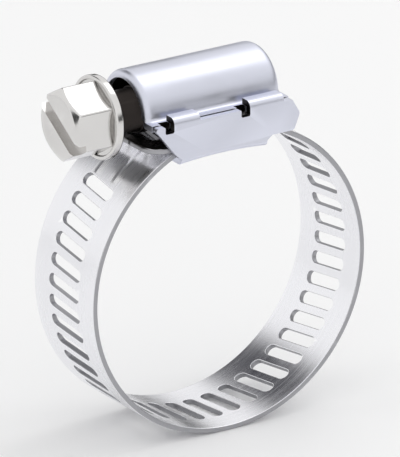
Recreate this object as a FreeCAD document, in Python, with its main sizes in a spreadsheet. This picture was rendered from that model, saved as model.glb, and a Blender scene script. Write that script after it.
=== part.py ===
"""Worm-drive hose clamp: a slotted band bent round a hose, drawn tight by a worm screw in a two-piece housing.

Frame: the origin is the centre of the ring that the band makes, +Y runs along the hose, +Z goes up
through the housing, and the screw lies along X with its head toward -X. Angles round the ring start
at +X and go toward +Z. The band is one flexible strip. It is cut into short stiff lengths, at the
middle of the metal between two slots, so that it can close as the screw turns: a fixed end, a row of
links and a free end.
"""

import FreeCAD
import Part
import math
import os
import Sketcher

DIMENSIONS = {
    # band
    "band_width": 12.7,
    "band_thickness": 0.65,
    "ring_radius": 18.5,
    "slot_pitch": 2.52,
    "slot_width": 1.45,
    "slot_length": 6.4,
    "slot_slant": 7.0,
    "slot_phase": 177.5,
    "slots_per_link": 3,
    "slots_left_out": 2,
    "link_gap": 0.06,
    "ramp_angle": 62.0,
    "tip_reach": 10.8,
    "tip_radius": 2.3,
    "fixed_end_reach": 3.0,
    # heights in the housing, from the base up
    "base_bottom": 15.85,
    "base_top": 16.65,
    "base_arch": 0.3,
    "layer_clearance": 0.05,
    # saddle
    "sheet": 0.8,
    "saddle_half_width": 7.3,
    "base_front": 7.2,
    "base_rear": 4.6,
    "wall_front": 11.0,
    "wall_rear": 9.1,
    "wall_rear_bottom": 17.2,
    "base_rear_chamfer": 0.6,
    "wall_rear_chamfer": 0.8,
    "wall_rear_corner": 2.0,
    "wall_rear_taper": 1.1,
    "wall_front_step": 0.9,
    "front_tab_length": 3.6,
    "rear_tab_length": 4.7,
    "tab_reach": 1.75,
    "front_tab_start": -8.25,
    "rear_tab_start": 2.2,
    "notch_width": 1.2,
    "notch_depth": 0.9,
    "bend_radius": 0.6,
    # housing cover
    "cover_radius": 4.9,
    "cover_front": 10.6,
    "cover_rear": 8.2,
    "cover_front_hole": 4.0,
    "cover_rear_hole": 1.8,
    "cover_front_rounding": 0.85,
    "cover_rear_rounding": 1.2,
    "flange_half_width": 6.2,
    "flange_front": 10.8,
    "flange_rear": 7.9,
    # screw
    "screw_height": 21.05,
    "worm_radius": 3.6,
    "worm_root_radius": 2.85,
    "worm_crest": 0.6,
    "worm_foot": 1.2,
    "worm_turns": 5.0,
    "worm_sunk": 0.1,
    "neck_radius": 2.6,
    "neck_end": 9.4,
    "root_end": 6.9,
    "pilot_radius": 1.6,
    "pilot_end": 8.6,
    "collar_rear": 13.5,
    "collar_thickness": 1.1,
    "collar_radius": 5.05,
    "head_front": 19.5,
    "hex_across_flats": 7.94,
    "hex_chamfer": 0.6,
    "hex_chamfer_length": 1.02,
    "head_overlap": 0.2,
    "driver_slot_width": 1.8,
    "driver_slot_depth": 1.3,
    "driver_slot_angle": 33.0,
}
LINK_COUNT = 12
STRAIGHT_SLOTS = 6
CLEAR = 1.0  # how far a cutting profile reaches past the metal it cuts
MATCH = 0.01  # how near an edge has to be to a size to be picked by it

doc = FreeCAD.newDocument("HoseClamp")


class Size:
    """A length or angle: its value now, and the spreadsheet formula that a sketch or feature is bound to."""

    def __init__(self, value, formula):
        self.value = value
        self.formula = formula

    def combine(self, other, sign, result):
        other = as_size(other)
        return Size(result(self.value, other.value), f"({self.formula} {sign} {other.formula})")

    def __add__(self, other):
        return self.combine(other, "+", lambda a, b: a + b)

    def __sub__(self, other):
        return self.combine(other, "-", lambda a, b: a - b)

    def __mul__(self, other):
        return self.combine(other, "*", lambda a, b: a * b)

    def __truediv__(self, other):
        return self.combine(other, "/", lambda a, b: a / b)

    def __neg__(self):
        return Size(-self.value, f"(-1 * {self.formula})")


def as_size(number):
    return number if isinstance(number, Size) else Size(float(number), f"{number}")


def sin(angle):
    return Size(math.sin(math.radians(angle.value)), f"sin({angle.formula})")


def cos(angle):
    return Size(math.cos(math.radians(angle.value)), f"cos({angle.formula})")


def make_sheet():
    """The spreadsheet with one named cell for each driving dimension."""
    sheet = doc.addObject("Spreadsheet::Sheet", "Sheet")
    for row, (name, value) in enumerate(DIMENSIONS.items(), start=1):
        sheet.set(f"A{row}", name)
        sheet.set(f"B{row}", str(value))
        sheet.setAlias(f"B{row}", name)
    doc.recompute()


def dimension(name):
    return Size(DIMENSIONS[name], f"Sheet.{name}")


def new_body(name):
    body = doc.addObject("PartDesign::Body", name)
    body.Label = name
    return body


def origin_feature(body, role):
    return next(item for item in body.Origin.OriginFeatures if item.Role == role)


def new_sketch(body, name, role):
    sketch = body.newObject("Sketcher::SketchObject", name)
    sketch.AttachmentSupport = (origin_feature(body, role), [""])
    sketch.MapMode = "FlatFace"
    return sketch


def bind(item, path, size):
    """Bind one property or constraint of an object to its spreadsheet formula."""
    item.setExpression(path, as_size(size).formula)


def pin(sketch, geometry, point, x=None, y=None):
    """Dimension one point of a sketch from the sketch's origin."""
    for kind, size in (("DistanceX", x), ("DistanceY", y)):
        if size is not None:
            size = as_size(size)
            index = sketch.addConstraint(Sketcher.Constraint(kind, -1, 1, geometry, point, size.value))
            bind(sketch, f"Constraints[{index}]", size)


def fix_radius(sketch, geometry, radius):
    index = sketch.addConstraint(Sketcher.Constraint("Radius", geometry, radius.value))
    bind(sketch, f"Constraints[{index}]", radius)


def vector(x, y):
    return FreeCAD.Vector(as_size(x).value, as_size(y).value, 0)


def draw_outline(sketch, corners, arcs=None):
    """A closed outline through the corners. arcs gives, for the side that leaves a corner, its centre and turn:
    +1 is anticlockwise. The corner where an arc ends is held by its height alone, because it lies on the arc."""
    arcs = arcs or {}
    count = len(corners)
    ends = []
    for index, (x, y) in enumerate(corners):
        start = vector(x, y)
        end = vector(*corners[(index + 1) % count])
        if index in arcs:
            centre_x, centre_y, turn = arcs[index]
            centre = vector(centre_x, centre_y)
            first, last = (start, end) if turn > 0 else (end, start)
            angles = [math.atan2(p.y - centre.y, p.x - centre.x) for p in (first, last)]
            circle = Part.Circle(centre, FreeCAD.Vector(0, 0, 1), (start - centre).Length)
            geometry = sketch.addGeometry(Part.ArcOfCircle(circle, angles[0], angles[1]), False)
            ends.append((geometry, 1, 2) if turn > 0 else (geometry, 2, 1))
        else:
            geometry = sketch.addGeometry(Part.LineSegment(start, end), False)
            ends.append((geometry, 1, 2))
    for index in range(count):
        geometry, start_point, end_point = ends[index]
        following, following_start, _ = ends[(index + 1) % count]
        join = Sketcher.Constraint("Coincident", geometry, end_point, following, following_start)
        sketch.addConstraint(join)
    for index, (x, y) in enumerate(corners):
        geometry, start_point, _ = ends[index]
        ends_an_arc = (index - 1) % count in arcs
        pin(sketch, geometry, start_point, None if ends_an_arc else x, y)
        if index in arcs:
            pin(sketch, geometry, 3, arcs[index][0], arcs[index][1])


def draw_slot(sketch, x, y, length, width, slant):
    """A slot with round ends, its middle at x, y and its length turned by slant from the sketch's x."""
    reach = (length - width) / 2
    radius = width / 2
    slope = math.radians(slant.value)
    arcs = []
    for side in (1, -1):
        centre_x = x + reach * cos(slant) * side
        centre_y = y + reach * sin(slant) * side
        circle = Part.Circle(vector(centre_x, centre_y), FreeCAD.Vector(0, 0, 1), radius.value)
        first = slope - side * math.pi / 2
        arcs.append(sketch.addGeometry(Part.ArcOfCircle(circle, first, first + math.pi), False))
        pin(sketch, arcs[-1], 3, centre_x, centre_y)
    for start, finish in (arcs, arcs[::-1]):
        ends = [sketch.getPoint(start, 2), sketch.getPoint(finish, 1)]
        line = sketch.addGeometry(Part.LineSegment(*ends), False)
        sketch.addConstraint(Sketcher.Constraint("Tangent", start, 2, line, 1))
        sketch.addConstraint(Sketcher.Constraint("Tangent", line, 2, finish, 1))
    fix_radius(sketch, arcs[0], radius)
    sketch.addConstraint(Sketcher.Constraint("Equal", arcs[0], arcs[1]))


def rectangle(x_low, x_high, y_low, y_high):
    return [(x_low, y_low), (x_high, y_low), (x_high, y_high), (x_low, y_high)]


def add_feature(body, kind, name, sketch, **settings):
    """A sketch-based feature. Sizes are bound to the sheet, and other settings are stored as they are."""
    feature = body.newObject(f"PartDesign::{kind}", name)
    feature.Profile = sketch
    for setting, value in settings.items():
        if isinstance(value, Size):
            bind(feature, setting, value)
        else:
            setattr(feature, setting, value)
    return feature


def add_fillet(body, base, name, radius, wanted):
    """Round the edges of the base feature that the wanted test picks."""
    doc.recompute()
    names = [f"Edge{i}" for i, edge in enumerate(base.Shape.Edges, start=1) if wanted(edge)]
    if not names:
        raise RuntimeError(f"no edge found for {name}")
    fillet = body.newObject("PartDesign::Fillet", name)
    fillet.Base = (base, names)
    bind(fillet, "Radius", radius)
    body.Tip = fillet
    return fillet


make_sheet()
width = dimension("band_width")
thickness = dimension("band_thickness")
ring_radius = dimension("ring_radius")
inner_radius = ring_radius - thickness / 2
outer_radius = ring_radius + thickness / 2
pitch = dimension("slot_pitch")
pitch_angle = pitch / ring_radius * Size(math.degrees(1), "(180 / pi)")
link_angle = pitch_angle * dimension("slots_per_link")
gap_angle = dimension("link_gap") / ring_radius * Size(math.degrees(1), "(180 / pi)")
slant = dimension("slot_slant")
first_joint = dimension("slot_phase") - pitch_angle * 7.5
last_joint = first_joint + link_angle * LINK_COUNT
ramp_angle = dimension("ramp_angle")
fixed_bottom = dimension("base_top")
fixed_top = fixed_bottom + thickness
free_bottom = fixed_top + dimension("layer_clearance")
free_top = free_bottom + thickness
free_middle = free_bottom + thickness / 2
screw_height = dimension("screw_height")


def ramp_x(radius, height):
    """Where the straight ramp that leaves a circle of this radius at ramp_angle reaches this height."""
    return radius / cos(ramp_angle) - height * sin(ramp_angle) / cos(ramp_angle)


def front_of_circle(radius, height):
    """Where a circle of this radius reaches this height on the side of the screw's head."""
    return Size(
        -math.sqrt(radius.value**2 - height.value**2),
        f"(-1 * sqrt({radius.formula} ^ 2 - {height.formula} ^ 2))",
    )


ramp_length = (ramp_x(ring_radius, free_middle) - ring_radius * cos(ramp_angle)) / (-sin(ramp_angle))
free_arc_angle = ramp_angle + Size(360.0, "360") - last_joint
free_arc_length = ring_radius * free_arc_angle * Size(math.radians(1), "(pi / 180)")
ramp_slot = pitch * 3.5 - free_arc_length
first_straight_slot = ramp_x(ring_radius, free_middle) + free_arc_length + ramp_length - pitch * 4.5


def cut_slot(body, name, angle, along=0):
    """One slot square to the ring at this angle, moved this far along the tangent there."""
    sketch = new_sketch(body, f"{name}_outline", "YZ_Plane")
    sketch.AttachmentOffset = FreeCAD.Placement(
        FreeCAD.Vector(), FreeCAD.Rotation(FreeCAD.Vector(-1, 0, 0), 1),
    )
    bind(sketch, "AttachmentOffset.Rotation.Angle", angle)
    draw_slot(
        sketch, as_size(0), as_size(along), dimension("slot_length"), dimension("slot_width"), -slant,
    )
    return add_feature(body, "Pocket", name, sketch, Type="ThroughAll", Reversed=True)


def cut_slots_round_ring(body, angle_of_first, count):
    """Slots square to the ring, the first at this angle, the rest at the pitch toward larger angles."""
    pocket = cut_slot(body, f"{body.Name}_slot", angle_of_first)
    if count == 1:
        return pocket
    pattern = body.newObject("PartDesign::PolarPattern", f"{body.Name}_slots")
    pattern.Originals = [pocket]
    pattern.Axis = (origin_feature(body, "Y_Axis"), [""])
    pattern.Occurrences = count
    pattern.Reversed = True
    bind(pattern, "Angle", pitch_angle * (count - 1))
    body.Tip = pattern
    return pattern


def make_band_link(number):
    """One stiff length of the band, made at angle 0 and then turned to its place on the ring.

    The first one lies by the fixed end, where the band is left plain over the first slots_left_out pitches.
    """
    body = new_body(f"band_link_{number:02d}")
    sketch = new_sketch(body, f"{body.Name}_section", "XY_Plane")
    draw_outline(sketch, rectangle(inner_radius, outer_radius, -width / 2, width / 2))
    add_feature(
        body,
        "Revolution",
        f"{body.Name}_strip",
        sketch,
        ReferenceAxis=(origin_feature(body, "Y_Axis"), [""]),
        Type="TwoAngles",
        Reversed=True,
        Angle=link_angle - pitch_angle / 2 - gap_angle / 2,
        Angle2=pitch_angle / 2 - gap_angle / 2,
    )
    left_out = int(DIMENSIONS["slots_left_out"]) if number == 1 else 0
    slots = int(DIMENSIONS["slots_per_link"]) - left_out
    cut_slots_round_ring(body, pitch_angle * left_out, slots)
    body.Placement = FreeCAD.Placement(FreeCAD.Vector(), FreeCAD.Rotation(FreeCAD.Vector(0, -1, 0), 1))
    bind(body, "Placement.Rotation.Angle", first_joint + pitch_angle / 2 + link_angle * (number - 1))
    return body


def make_band_fixed_end():
    """The end of the band that is welded to the saddle's base, and its bend down onto the ring."""
    body = new_body("band_fixed_end")
    sketch = new_sketch(body, "fixed_end_profile", "XZ_Plane")
    end_angle = first_joint - gap_angle / 2
    inner_bend = front_of_circle(inner_radius, fixed_bottom)
    outer_bend = front_of_circle(outer_radius, fixed_top)
    reach = dimension("fixed_end_reach")
    draw_outline(
        sketch,
        [
            (reach, fixed_top),
            (outer_bend, fixed_top),
            (outer_radius * cos(end_angle), outer_radius * sin(end_angle)),
            (inner_radius * cos(end_angle), inner_radius * sin(end_angle)),
            (inner_bend, fixed_bottom),
            (reach, fixed_bottom),
        ],
        arcs={1: (0, 0, 1), 3: (0, 0, -1)},
    )
    add_feature(body, "Pad", "fixed_end_strip", sketch, Midplane=True, Length=width)
    return body


def make_band_free_end():
    """The slotted end that the worm drives: it leaves the ring on a ramp and runs straight under the screw."""
    body = new_body("band_free_end")
    sketch = new_sketch(body, "free_end_profile", "XZ_Plane")
    start_angle = last_joint + gap_angle / 2
    tip = -dimension("tip_reach")
    draw_outline(
        sketch,
        [
            (inner_radius * cos(start_angle), inner_radius * sin(start_angle)),
            (inner_radius * cos(ramp_angle), inner_radius * sin(ramp_angle)),
            (ramp_x(inner_radius, free_bottom), free_bottom),
            (tip, free_bottom),
            (tip, free_top),
            (ramp_x(outer_radius, free_top), free_top),
            (outer_radius * cos(ramp_angle), outer_radius * sin(ramp_angle)),
            (outer_radius * cos(start_angle), outer_radius * sin(start_angle)),
        ],
        arcs={0: (0, 0, 1), 6: (0, 0, -1)},
    )
    strip = add_feature(body, "Pad", "free_end_strip", sketch, Midplane=True, Length=width)

    def at_tip(edge):
        upright = edge.Length < thickness.value + MATCH
        return upright and all(abs(v.X - tip.value) < MATCH for v in edge.Vertexes)

    add_fillet(body, strip, "free_end_tip", dimension("tip_radius"), at_tip)
    cut_slots_round_ring(body, last_joint + pitch_angle / 2, int(DIMENSIONS["slots_per_link"]))
    cut_slot(body, "ramp_slot", ramp_angle, ramp_slot)

    slot = new_sketch(body, "straight_slot", "XY_Plane")
    across = Size(90.0, "90") - slant
    draw_slot(
        slot, first_straight_slot, as_size(0), dimension("slot_length"), dimension("slot_width"), across,
    )
    cut = add_feature(body, "Pocket", "straight_slot_cut", slot, Type="ThroughAll", Reversed=True)
    pattern = body.newObject("PartDesign::LinearPattern", "straight_slots")
    pattern.Originals = [cut]
    pattern.Direction = (origin_feature(body, "X_Axis"), [""])
    pattern.Reversed = True
    pattern.Occurrences = STRAIGHT_SLOTS
    bind(pattern, "Length", pitch * (STRAIGHT_SLOTS - 1))
    body.Tip = pattern
    return body


def make_saddle():
    """The lower half of the housing: a channel under the band, with tabs bent over the cover's flanges."""
    body = new_body("saddle")
    half_width = dimension("saddle_half_width")
    sheet = dimension("sheet")
    bottom = dimension("base_bottom")
    base_top = dimension("base_top")
    front = -dimension("base_front")
    rear = dimension("base_rear")
    middle = (front + rear) / 2
    half_base = (rear - front) / 2
    arch = dimension("base_arch")
    arch_drop = (half_base * half_base - arch * arch) / (arch * 2)
    rear_bottom = dimension("wall_rear_bottom")
    wall_rear = dimension("wall_rear")

    outline = new_sketch(body, "saddle_side", "XZ_Plane")
    draw_outline(
        outline,
        [
            (front, bottom),
            (rear, bottom),
            (rear, base_top),
            (rear + dimension("base_rear_chamfer"), rear_bottom),
            (wall_rear - dimension("wall_rear_chamfer"), rear_bottom),
            (wall_rear, rear_bottom + dimension("wall_rear_corner")),
            (wall_rear - dimension("wall_rear_taper"), screw_height),
            (-dimension("wall_front"), screw_height),
            (front - dimension("wall_front_step"), base_top + sheet),
            (front, base_top),
        ],
        arcs={0: (middle, bottom - arch_drop, -1)},
    )
    add_feature(body, "Pad", "saddle_block", outline, Midplane=True, Length=half_width * 2)

    inside = new_sketch(body, "saddle_inside", "YZ_Plane")
    inner = half_width - sheet
    draw_outline(inside, rectangle(-inner, inner, base_top, screw_height + CLEAR))
    channel = add_feature(body, "Pocket", "saddle_channel", inside, Type="ThroughAll", Midplane=True)

    def bottom_side(edge):
        ends = edge.Vertexes
        outside = all(abs(abs(v.Y) - half_width.value) < MATCH for v in ends)
        low = all(abs(v.Z - bottom.value) < MATCH for v in ends)
        return outside and low

    add_fillet(body, channel, "saddle_bends", dimension("bend_radius"), bottom_side)

    starts = [dimension("front_tab_start"), dimension("rear_tab_start")]
    lengths = [dimension("front_tab_length"), dimension("rear_tab_length")]
    notch_bottom = screw_height - dimension("notch_depth")
    for index, start in enumerate(starts, start=1):
        notch = new_sketch(body, f"notch_{index}", "XZ_Plane")
        notch_front = start - dimension("notch_width")
        draw_outline(notch, rectangle(notch_front, start, notch_bottom, screw_height + CLEAR))
        add_feature(body, "Pocket", f"notch_{index}_cut", notch, Type="ThroughAll", Midplane=True)

    for index, (start, length) in enumerate(zip(starts, lengths), start=1):
        for side, sign in (("near", -1), ("far", 1)):
            tab = new_sketch(body, f"tab_{index}_{side}", "XY_Plane")
            tab.AttachmentOffset = FreeCAD.Placement(FreeCAD.Vector(0, 0, 1), FreeCAD.Rotation())
            bind(tab, "AttachmentOffset.Base.z", screw_height)
            inner_edge = half_width - dimension("tab_reach")
            edges = sorted((half_width * sign, inner_edge * sign), key=lambda s: s.value)
            draw_outline(tab, rectangle(start, start + length, *edges))
            last = add_feature(body, "Pad", f"tab_{index}_{side}_bend", tab, Length=sheet)

    def tab_corner(edge):
        ends = edge.Vertexes
        top = all(abs(v.Z - screw_height.value - sheet.value) < MATCH for v in ends)
        return top and all(abs(abs(v.Y) - half_width.value) < MATCH for v in ends)

    add_fillet(body, last, "tab_bends", dimension("bend_radius"), tab_corner)
    return body


def make_housing_cover():
    """The upper half of the housing: a half tube over the worm with a flange along each side."""
    body = new_body("housing_cover")
    radius = dimension("cover_radius")
    sheet = dimension("sheet")
    front = -dimension("cover_front")
    rear = dimension("cover_rear")
    front_hole = dimension("cover_front_hole")
    rear_hole = dimension("cover_rear_hole")

    shell = new_sketch(body, "cover_section", "XZ_Plane")
    draw_outline(
        shell,
        [
            (front, front_hole),
            (front, radius),
            (rear, radius),
            (rear, rear_hole),
            (rear - sheet, rear_hole),
            (rear - sheet, radius - sheet),
            (front + sheet, radius - sheet),
            (front + sheet, front_hole),
        ],
    )
    dome = add_feature(
        body,
        "Revolution",
        "cover_dome",
        shell,
        ReferenceAxis=(origin_feature(body, "X_Axis"), [""]),
        Midplane=True,
        Angle=as_size(180),
    )

    def outer_rim(edge):
        return isinstance(edge.Curve, Part.Circle) and abs(edge.Curve.Radius - radius.value) < MATCH

    def front_rim(edge):
        return outer_rim(edge) and abs(edge.Curve.Center.x - front.value) < MATCH

    def rear_rim(edge):
        return outer_rim(edge) and abs(edge.Curve.Center.x - rear.value) < MATCH

    rounded = add_fillet(body, dome, "cover_front_edge", dimension("cover_front_rounding"), front_rim)
    add_fillet(body, rounded, "cover_rear_edge", dimension("cover_rear_rounding"), rear_rim)

    half_width = dimension("flange_half_width")
    for side, sign in (("near", -1), ("far", 1)):
        flange = new_sketch(body, f"flange_{side}", "XY_Plane")
        edges = sorted((half_width * sign, (radius - sheet) * sign), key=lambda s: s.value)
        draw_outline(flange, rectangle(-dimension("flange_front"), dimension("flange_rear"), *edges))
        add_feature(body, "Pad", f"flange_{side}_plate", flange, Length=sheet, Reversed=True)

    inner_edge = dimension("saddle_half_width") - dimension("tab_reach")
    for index, name in enumerate(("front_tab_start", "rear_tab_start"), start=1):
        start = dimension(name)
        for side, sign in (("near", -1), ("far", 1)):
            notch = new_sketch(body, f"cover_notch_{index}_{side}", "XY_Plane")
            edges = sorted((inner_edge * sign, (half_width + CLEAR) * sign), key=lambda s: s.value)
            draw_outline(notch, rectangle(start - dimension("notch_width"), start, *edges))
            add_feature(body, "Pocket", f"cover_notch_{index}_{side}_cut", notch, Type="ThroughAll")
    bind(body, "Placement.Base.z", screw_height)
    return body


def make_worm_screw():
    """A slotted hexagon head with a collar, a plain neck, a right-hand worm and an end pilot, in one piece."""
    body = new_body("worm_screw")
    collar_rear = -dimension("collar_rear")
    collar_front = collar_rear - dimension("collar_thickness")
    collar = dimension("collar_radius")
    neck = dimension("neck_radius")
    root = dimension("worm_root_radius")
    neck_end = -dimension("neck_end")
    root_end = dimension("root_end")
    pilot = dimension("pilot_radius")
    pilot_end = dimension("pilot_end")

    shaft = new_sketch(body, "screw_section", "XZ_Plane")
    draw_outline(
        shaft,
        [
            (collar_front, 0),
            (collar_front, collar),
            (collar_rear, collar),
            (collar_rear, neck),
            (neck_end, neck),
            (neck_end, root),
            (root_end, root),
            (root_end, pilot),
            (pilot_end, pilot),
            (pilot_end, 0),
        ],
    )
    turned = add_feature(
        body,
        "Revolution",
        "screw_shaft",
        shaft,
        ReferenceAxis=(origin_feature(body, "X_Axis"), [""]),
        Angle=as_size(360),
    )

    def collar_edge(edge):
        return isinstance(edge.Curve, Part.Circle) and abs(edge.Curve.Radius - collar.value) < MATCH

    add_fillet(body, turned, "collar_rounding", dimension("collar_thickness") * 0.3, collar_edge)

    head_front = -dimension("head_front")
    corner = dimension("hex_across_flats") / 2 / cos(Size(30.0, "30"))
    hexagon = new_sketch(body, "head_hexagon", "YZ_Plane")
    hexagon.AttachmentOffset = FreeCAD.Placement(FreeCAD.Vector(0, 0, 1), FreeCAD.Rotation())
    bind(hexagon, "AttachmentOffset.Base.z", head_front)
    turns = [as_size(angle) for angle in range(30, 390, 60)]
    draw_outline(hexagon, [(corner * cos(turn), corner * sin(turn)) for turn in turns])
    add_feature(
        body, "Pad", "head_prism", hexagon, Length=collar_front - head_front + dimension("head_overlap"),
    )

    chamfer = dimension("hex_chamfer")
    flat = dimension("hex_across_flats") / 2
    bevel = new_sketch(body, "head_bevel", "XZ_Plane")
    draw_outline(
        bevel,
        [
            (head_front - CLEAR, flat - chamfer),
            (head_front, flat - chamfer),
            (head_front + dimension("hex_chamfer_length"), corner + chamfer / 3),
            (head_front - CLEAR, corner + chamfer / 3),
        ],
    )
    add_feature(
        body,
        "Groove",
        "head_bevel_cut",
        bevel,
        ReferenceAxis=(origin_feature(body, "X_Axis"), [""]),
        Angle=as_size(360),
    )

    driver = new_sketch(body, "driver_slot", "YZ_Plane")
    driver.AttachmentOffset = FreeCAD.Placement(FreeCAD.Vector(0, 0, 1), FreeCAD.Rotation())
    bind(driver, "AttachmentOffset.Base.z", head_front)
    angle = dimension("driver_slot_angle")
    half_slot = dimension("driver_slot_width") / 2
    reach = corner + CLEAR
    corners = []
    for along, over in ((-1, -1), (1, -1), (1, 1), (-1, 1)):
        corners.append(
            (
                reach * cos(angle) * along - half_slot * sin(angle) * over,
                reach * sin(angle) * along + half_slot * cos(angle) * over,
            )
        )
    draw_outline(driver, corners)
    add_feature(
        body, "Pocket", "driver_slot_cut", driver, Length=dimension("driver_slot_depth"), Reversed=True,
    )

    thread = new_sketch(body, "worm_section", "XZ_Plane")
    start = first_straight_slot + pitch / 2 - pitch * dimension("worm_turns")
    crest = dimension("worm_crest") / 2
    foot = dimension("worm_foot") / 2
    sunk = root - dimension("worm_sunk")
    top = dimension("worm_radius")
    draw_outline(
        thread, [(start - foot, sunk), (start + foot, sunk), (start + crest, top), (start - crest, top)],
    )
    worm = add_feature(
        body,
        "AdditiveHelix",
        "worm_thread",
        thread,
        ReferenceAxis=(origin_feature(body, "X_Axis"), [""]),
        Mode="pitch-turns-angle",
        Pitch=pitch,
        Turns=dimension("worm_turns"),
        LeftHanded=False,
    )
    body.Tip = worm
    bind(body, "Placement.Base.z", screw_height)
    return body


def check_and_export(parts):
    """Stop on any failed feature or bad shape, then write each sub-part to its own file."""
    doc.recompute()
    failed = [item.Name for item in doc.Objects if {"Invalid", "Error"} & set(item.State)]
    if failed:
        raise RuntimeError(f"failed features: {failed}")
    os.makedirs("parts", exist_ok=True)
    for part in parts:
        shape = part.Shape
        if shape.isNull() or not shape.isValid() or len(shape.Solids) != 1:
            raise RuntimeError(f"{part.Label} is not one valid solid")
        shape.exportStep(f"parts/{part.Label}.step")
        print(f"{part.Label}: {shape.Volume:.2f} mm3")


links = [make_band_link(number) for number in range(1, LINK_COUNT + 1)]
check_and_export([
    make_worm_screw(),
    make_housing_cover(),
    make_saddle(),
    make_band_fixed_end(),
    *links,
    make_band_free_end(),
])
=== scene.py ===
"""Looks of a worm-drive hose clamp: a slotted steel band, a sheet steel housing and a polished screw.

Lengths are in millimetres in the code and in metres in Blender. The frame is the CAD's: the origin is
the centre of the ring, +Y runs along the hose, +Z goes up through the housing and the screw's head
points toward -X.
"""

import math

import bmesh
import bpy
import numpy as np
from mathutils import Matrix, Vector


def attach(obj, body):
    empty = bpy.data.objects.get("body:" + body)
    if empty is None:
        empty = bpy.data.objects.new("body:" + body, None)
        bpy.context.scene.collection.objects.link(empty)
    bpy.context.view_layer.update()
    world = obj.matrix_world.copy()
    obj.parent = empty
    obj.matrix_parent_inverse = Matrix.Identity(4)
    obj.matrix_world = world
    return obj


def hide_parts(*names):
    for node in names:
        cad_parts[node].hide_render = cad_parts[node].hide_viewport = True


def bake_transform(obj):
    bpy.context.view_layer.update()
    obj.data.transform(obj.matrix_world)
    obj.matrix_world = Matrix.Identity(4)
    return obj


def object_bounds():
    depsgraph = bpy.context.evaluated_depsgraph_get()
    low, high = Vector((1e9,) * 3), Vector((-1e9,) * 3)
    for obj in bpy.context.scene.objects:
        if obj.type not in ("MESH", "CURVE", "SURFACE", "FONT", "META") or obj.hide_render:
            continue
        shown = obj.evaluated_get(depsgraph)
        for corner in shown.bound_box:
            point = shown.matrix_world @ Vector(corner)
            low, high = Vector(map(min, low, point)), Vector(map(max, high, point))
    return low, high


MM = 0.001
SMALLEST_FACE = 1e-5

# band: SLOT_PHASE is where the slot with the number PHASE_SLOT stands on the ring
BAND_WIDTH = 12.7
BAND_THICKNESS = 0.65
RING_RADIUS = 18.5
SLOT_PITCH = 2.52
SLOT_WIDTH = 1.45
SLOT_LENGTH = 6.4
SLOT_SLANT = math.radians(7)
SLOT_PHASE = math.radians(177.5)
PHASE_SLOT = 7
SLOT_COUNT = 46
SLOTS_PER_LINK = 3
SLOTS_LEFT_OUT = 2
LINK_COUNT = 12
MEETING_JOINT = 6
JOINT_REACH = 0.45
FIXED_LAYER = 16.975
FREE_LAYER = 17.675
FIXED_END_X = 3.0
FREE_END_X = -10.8
RAMP_ANGLE = math.radians(62)
STRIP_BEND = 1.2
TIP_CORNER = 2.3
FIXED_CORNER = 0.5
SLOT_EDGE = 0.1
RIM_EDGE = 0.16

# housing
SCREW_Z = 21.05
SHEET = 0.8
SHEET_SHY = 0.05
COVER_RADIUS = 4.9
COVER_FRONT = -10.6
COVER_REAR = 8.2
COVER_FRONT_ROUNDING = 0.85
COVER_REAR_ROUNDING = 1.2
COVER_CREASE = 0.5
COVER_EDGE = 0.14
COVER_STEP = 0.8
DOME_STEPS = 48
FRONT_HOLE = 4.0
REAR_HOLE = 1.8
FLANGE_EDGE = 6.2
WALL_Y = 7.3
BEND = 0.8
BASE_Z = 15.85
BASE_FRONT = -7.2
BASE_REAR = 4.6
BASE_ARCH = 0.3
TAB_INNER_Y = 5.55
TABS = ((-8.25, -4.65), (2.2, 6.9))
NOTCH_WIDTH = 1.2
NOTCH_DEPTH = 0.9
SADDLE_EDGE = 0.12
# corners of the saddle's wall: (x, z, rounding)
WALL_REAR = ((5.3, 17.2, 0.35), (8.3, 17.2, 0.5), (9.1, 19.2, 0.6), (8.0, SCREW_Z, 0.4))
WALL_FRONT = ((-11.0, SCREW_Z, 0.3), (-8.1, 17.45, 0.8))

# screw
HEAD_FRONT = -19.5
COLLAR_FRONT = -14.6
COLLAR_REAR = -13.5
COLLAR_RADIUS = 5.05
COLLAR_DISH = 0.3
COLLAR_RIM = 0.5
NECK_RADIUS = 2.6
NECK_END = -9.4
ROOT_RADIUS = 2.85
ROOT_END = 6.9
PILOT_RADIUS = 1.6
PILOT_END = 8.6
CREST_RADIUS = 3.6
THREAD_TURNS = 5.0
HEX_FLAT = 3.97
HEX_CORNER = 0.35
HEX_CHAMFER = 0.6
FACE_SHARE = 0.55
CHAMFER_SLOPE = 1.55
CHAMFER_SOFT = 0.12
DRIVER_WIDTH = 1.8
DRIVER_DEPTH = 1.3
DRIVER_REACH = 6
DRIVER_ANGLE = math.radians(33)

THREAD_SUNK = 0.1
THREAD_FADE = 0.3
STEPS_PER_TURN = 72
HEAD_STEPS = 360
HEAD_CENTRE = 0.02
HEAD_EDGE = 0.09
SHANK_MARGIN = 0.2

# second material of a piece, by its faces' material index: near-black painted shade inside the housing and
# on the screw's shank, and for the band its sheared cut edges, whose darker tone is partly painted shade
INSIDE = 1
SHEARED_AND_SHADED = 1
EDGE_FACING = 0.75
NORMAL_STEP = 0.05
EDGE_MARGIN = 0.05
NOTCH_REACH = 1.2

# studio: a card is its direction, its reach and the width of its soft edge in degrees, and its colour
FLOOR_REACH = 2000
FOOT_GREY = 0.12
WORLD_LIGHT = 0.97
KEY_POWER = 0.3
DARK_CARDS = (
    ((-0.05, 0.76, 0.65), 22, 12, (0.05, 0.05, 0.06)),
    ((-0.99, -0.05, 0.13), 16, 9, (0.01, 0.01, 0.01)),
)

# camera: FRAME_HEIGHT is what it shows at the ring, from top to bottom
CAMERA_AZIMUTH = math.radians(33)
CAMERA_ELEVATION = math.radians(20.9)
CAMERA_DISTANCE = 1.5
CAMERA_RISE = 4.046
SENSOR = 36
FRAME_HEIGHT = 53.282

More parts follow.
